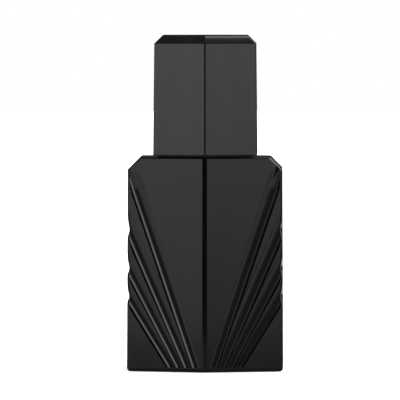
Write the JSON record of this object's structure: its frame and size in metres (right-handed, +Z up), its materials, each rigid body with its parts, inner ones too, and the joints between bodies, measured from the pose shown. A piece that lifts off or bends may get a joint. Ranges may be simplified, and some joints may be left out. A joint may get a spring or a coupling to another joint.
{
  "type": "aftershave bottle",
  "caption": "Black glass aftershave bottle with flutes fanning out from the foot of its ridged front, a crimped spray pump and a tall pull-off cap.",
  "frame": {"origin": "centre of the standing base", "axes": "+Z up through the neck and pump, +X towards the bottle's right side face seen from the front, -Y out of the fluted front ridge"},
  "size_m": [0.0664, 0.038, 0.1428],
  "materials": {
    "black_glass": "glossy, opaque, near black with a faint purple cast",
    "cap_plastic": "dark grey-black moulded plastic, satin to gloss",
    "liner_plastic": "black moulded plastic, matt",
    "button_plastic": "black moulded plastic",
    "collar_metal": "black anodised, satin",
    "ferrule_metal": "plain, satin",
    "pump_plastic": "natural white moulded plastic",
    "seal_plastic": "soft white plastic",
    "seal_rubber": "black, matt",
    "tube_plastic": "cloudy clear tubing",
    "spring_steel": "bright drawn wire",
    "ball_steel": "polished"
  },
  "bodies": {
    "bottle": {"glass_bottle": "black_glass", "neck_gasket": "seal_plastic", "crimp_ferrule": "ferrule_metal", "collar_sleeve": "collar_metal", "turret": "pump_plastic", "stem_gasket": "seal_rubber", "pump_housing": "pump_plastic", "dip_tube": "tube_plastic", "return_spring": "spring_steel"},
    "cap": {"overcap_liner": "liner_plastic", "overcap_shell": "cap_plastic"},
    "stem": {"stem": "pump_plastic", "valve_poppet": "pump_plastic"},
    "piston": {"piston": "seal_plastic", "precompression_spring": "spring_steel"},
    "actuator": {"actuator_button": "button_plastic", "actuator_shell": "collar_metal", "nozzle_insert": "button_plastic"},
    "ball": {"inlet_ball": "ball_steel"}
  },
  "joints": [
    {"name": "cap_lift", "type": "slide", "parent": "bottle", "child": "cap", "axis": [0, 0, 1], "range_m": [0, 0.045]},
    {"name": "pump_stroke", "type": "slide", "parent": "bottle", "child": "stem", "axis": [0, 0, -1], "range_m": [0, 0.0045], "stiffness_N_per_m": 800, "springref_m": -0.003, "deforming": ["return_spring"]},
    {"name": "piston_slide", "type": "slide", "parent": "bottle", "child": "piston", "axis": [0, 0, -1], "range_m": [0, 0.0041], "deforming": ["precompression_spring"]},
    {"name": "actuator_swivel", "type": "hinge", "parent": "stem", "child": "actuator", "pos_m": [0, 0, 0.11], "axis": [0, 0, 1], "continuous": true},
    {"name": "ball_lift", "type": "slide", "parent": "bottle", "child": "ball", "axis": [0, 0, 1], "range_m": [0, 0.001]}
  ],
  "couplings": [
    {"joint": "piston_slide", "follows": "pump_stroke", "ratio": 0.9}
  ]
}
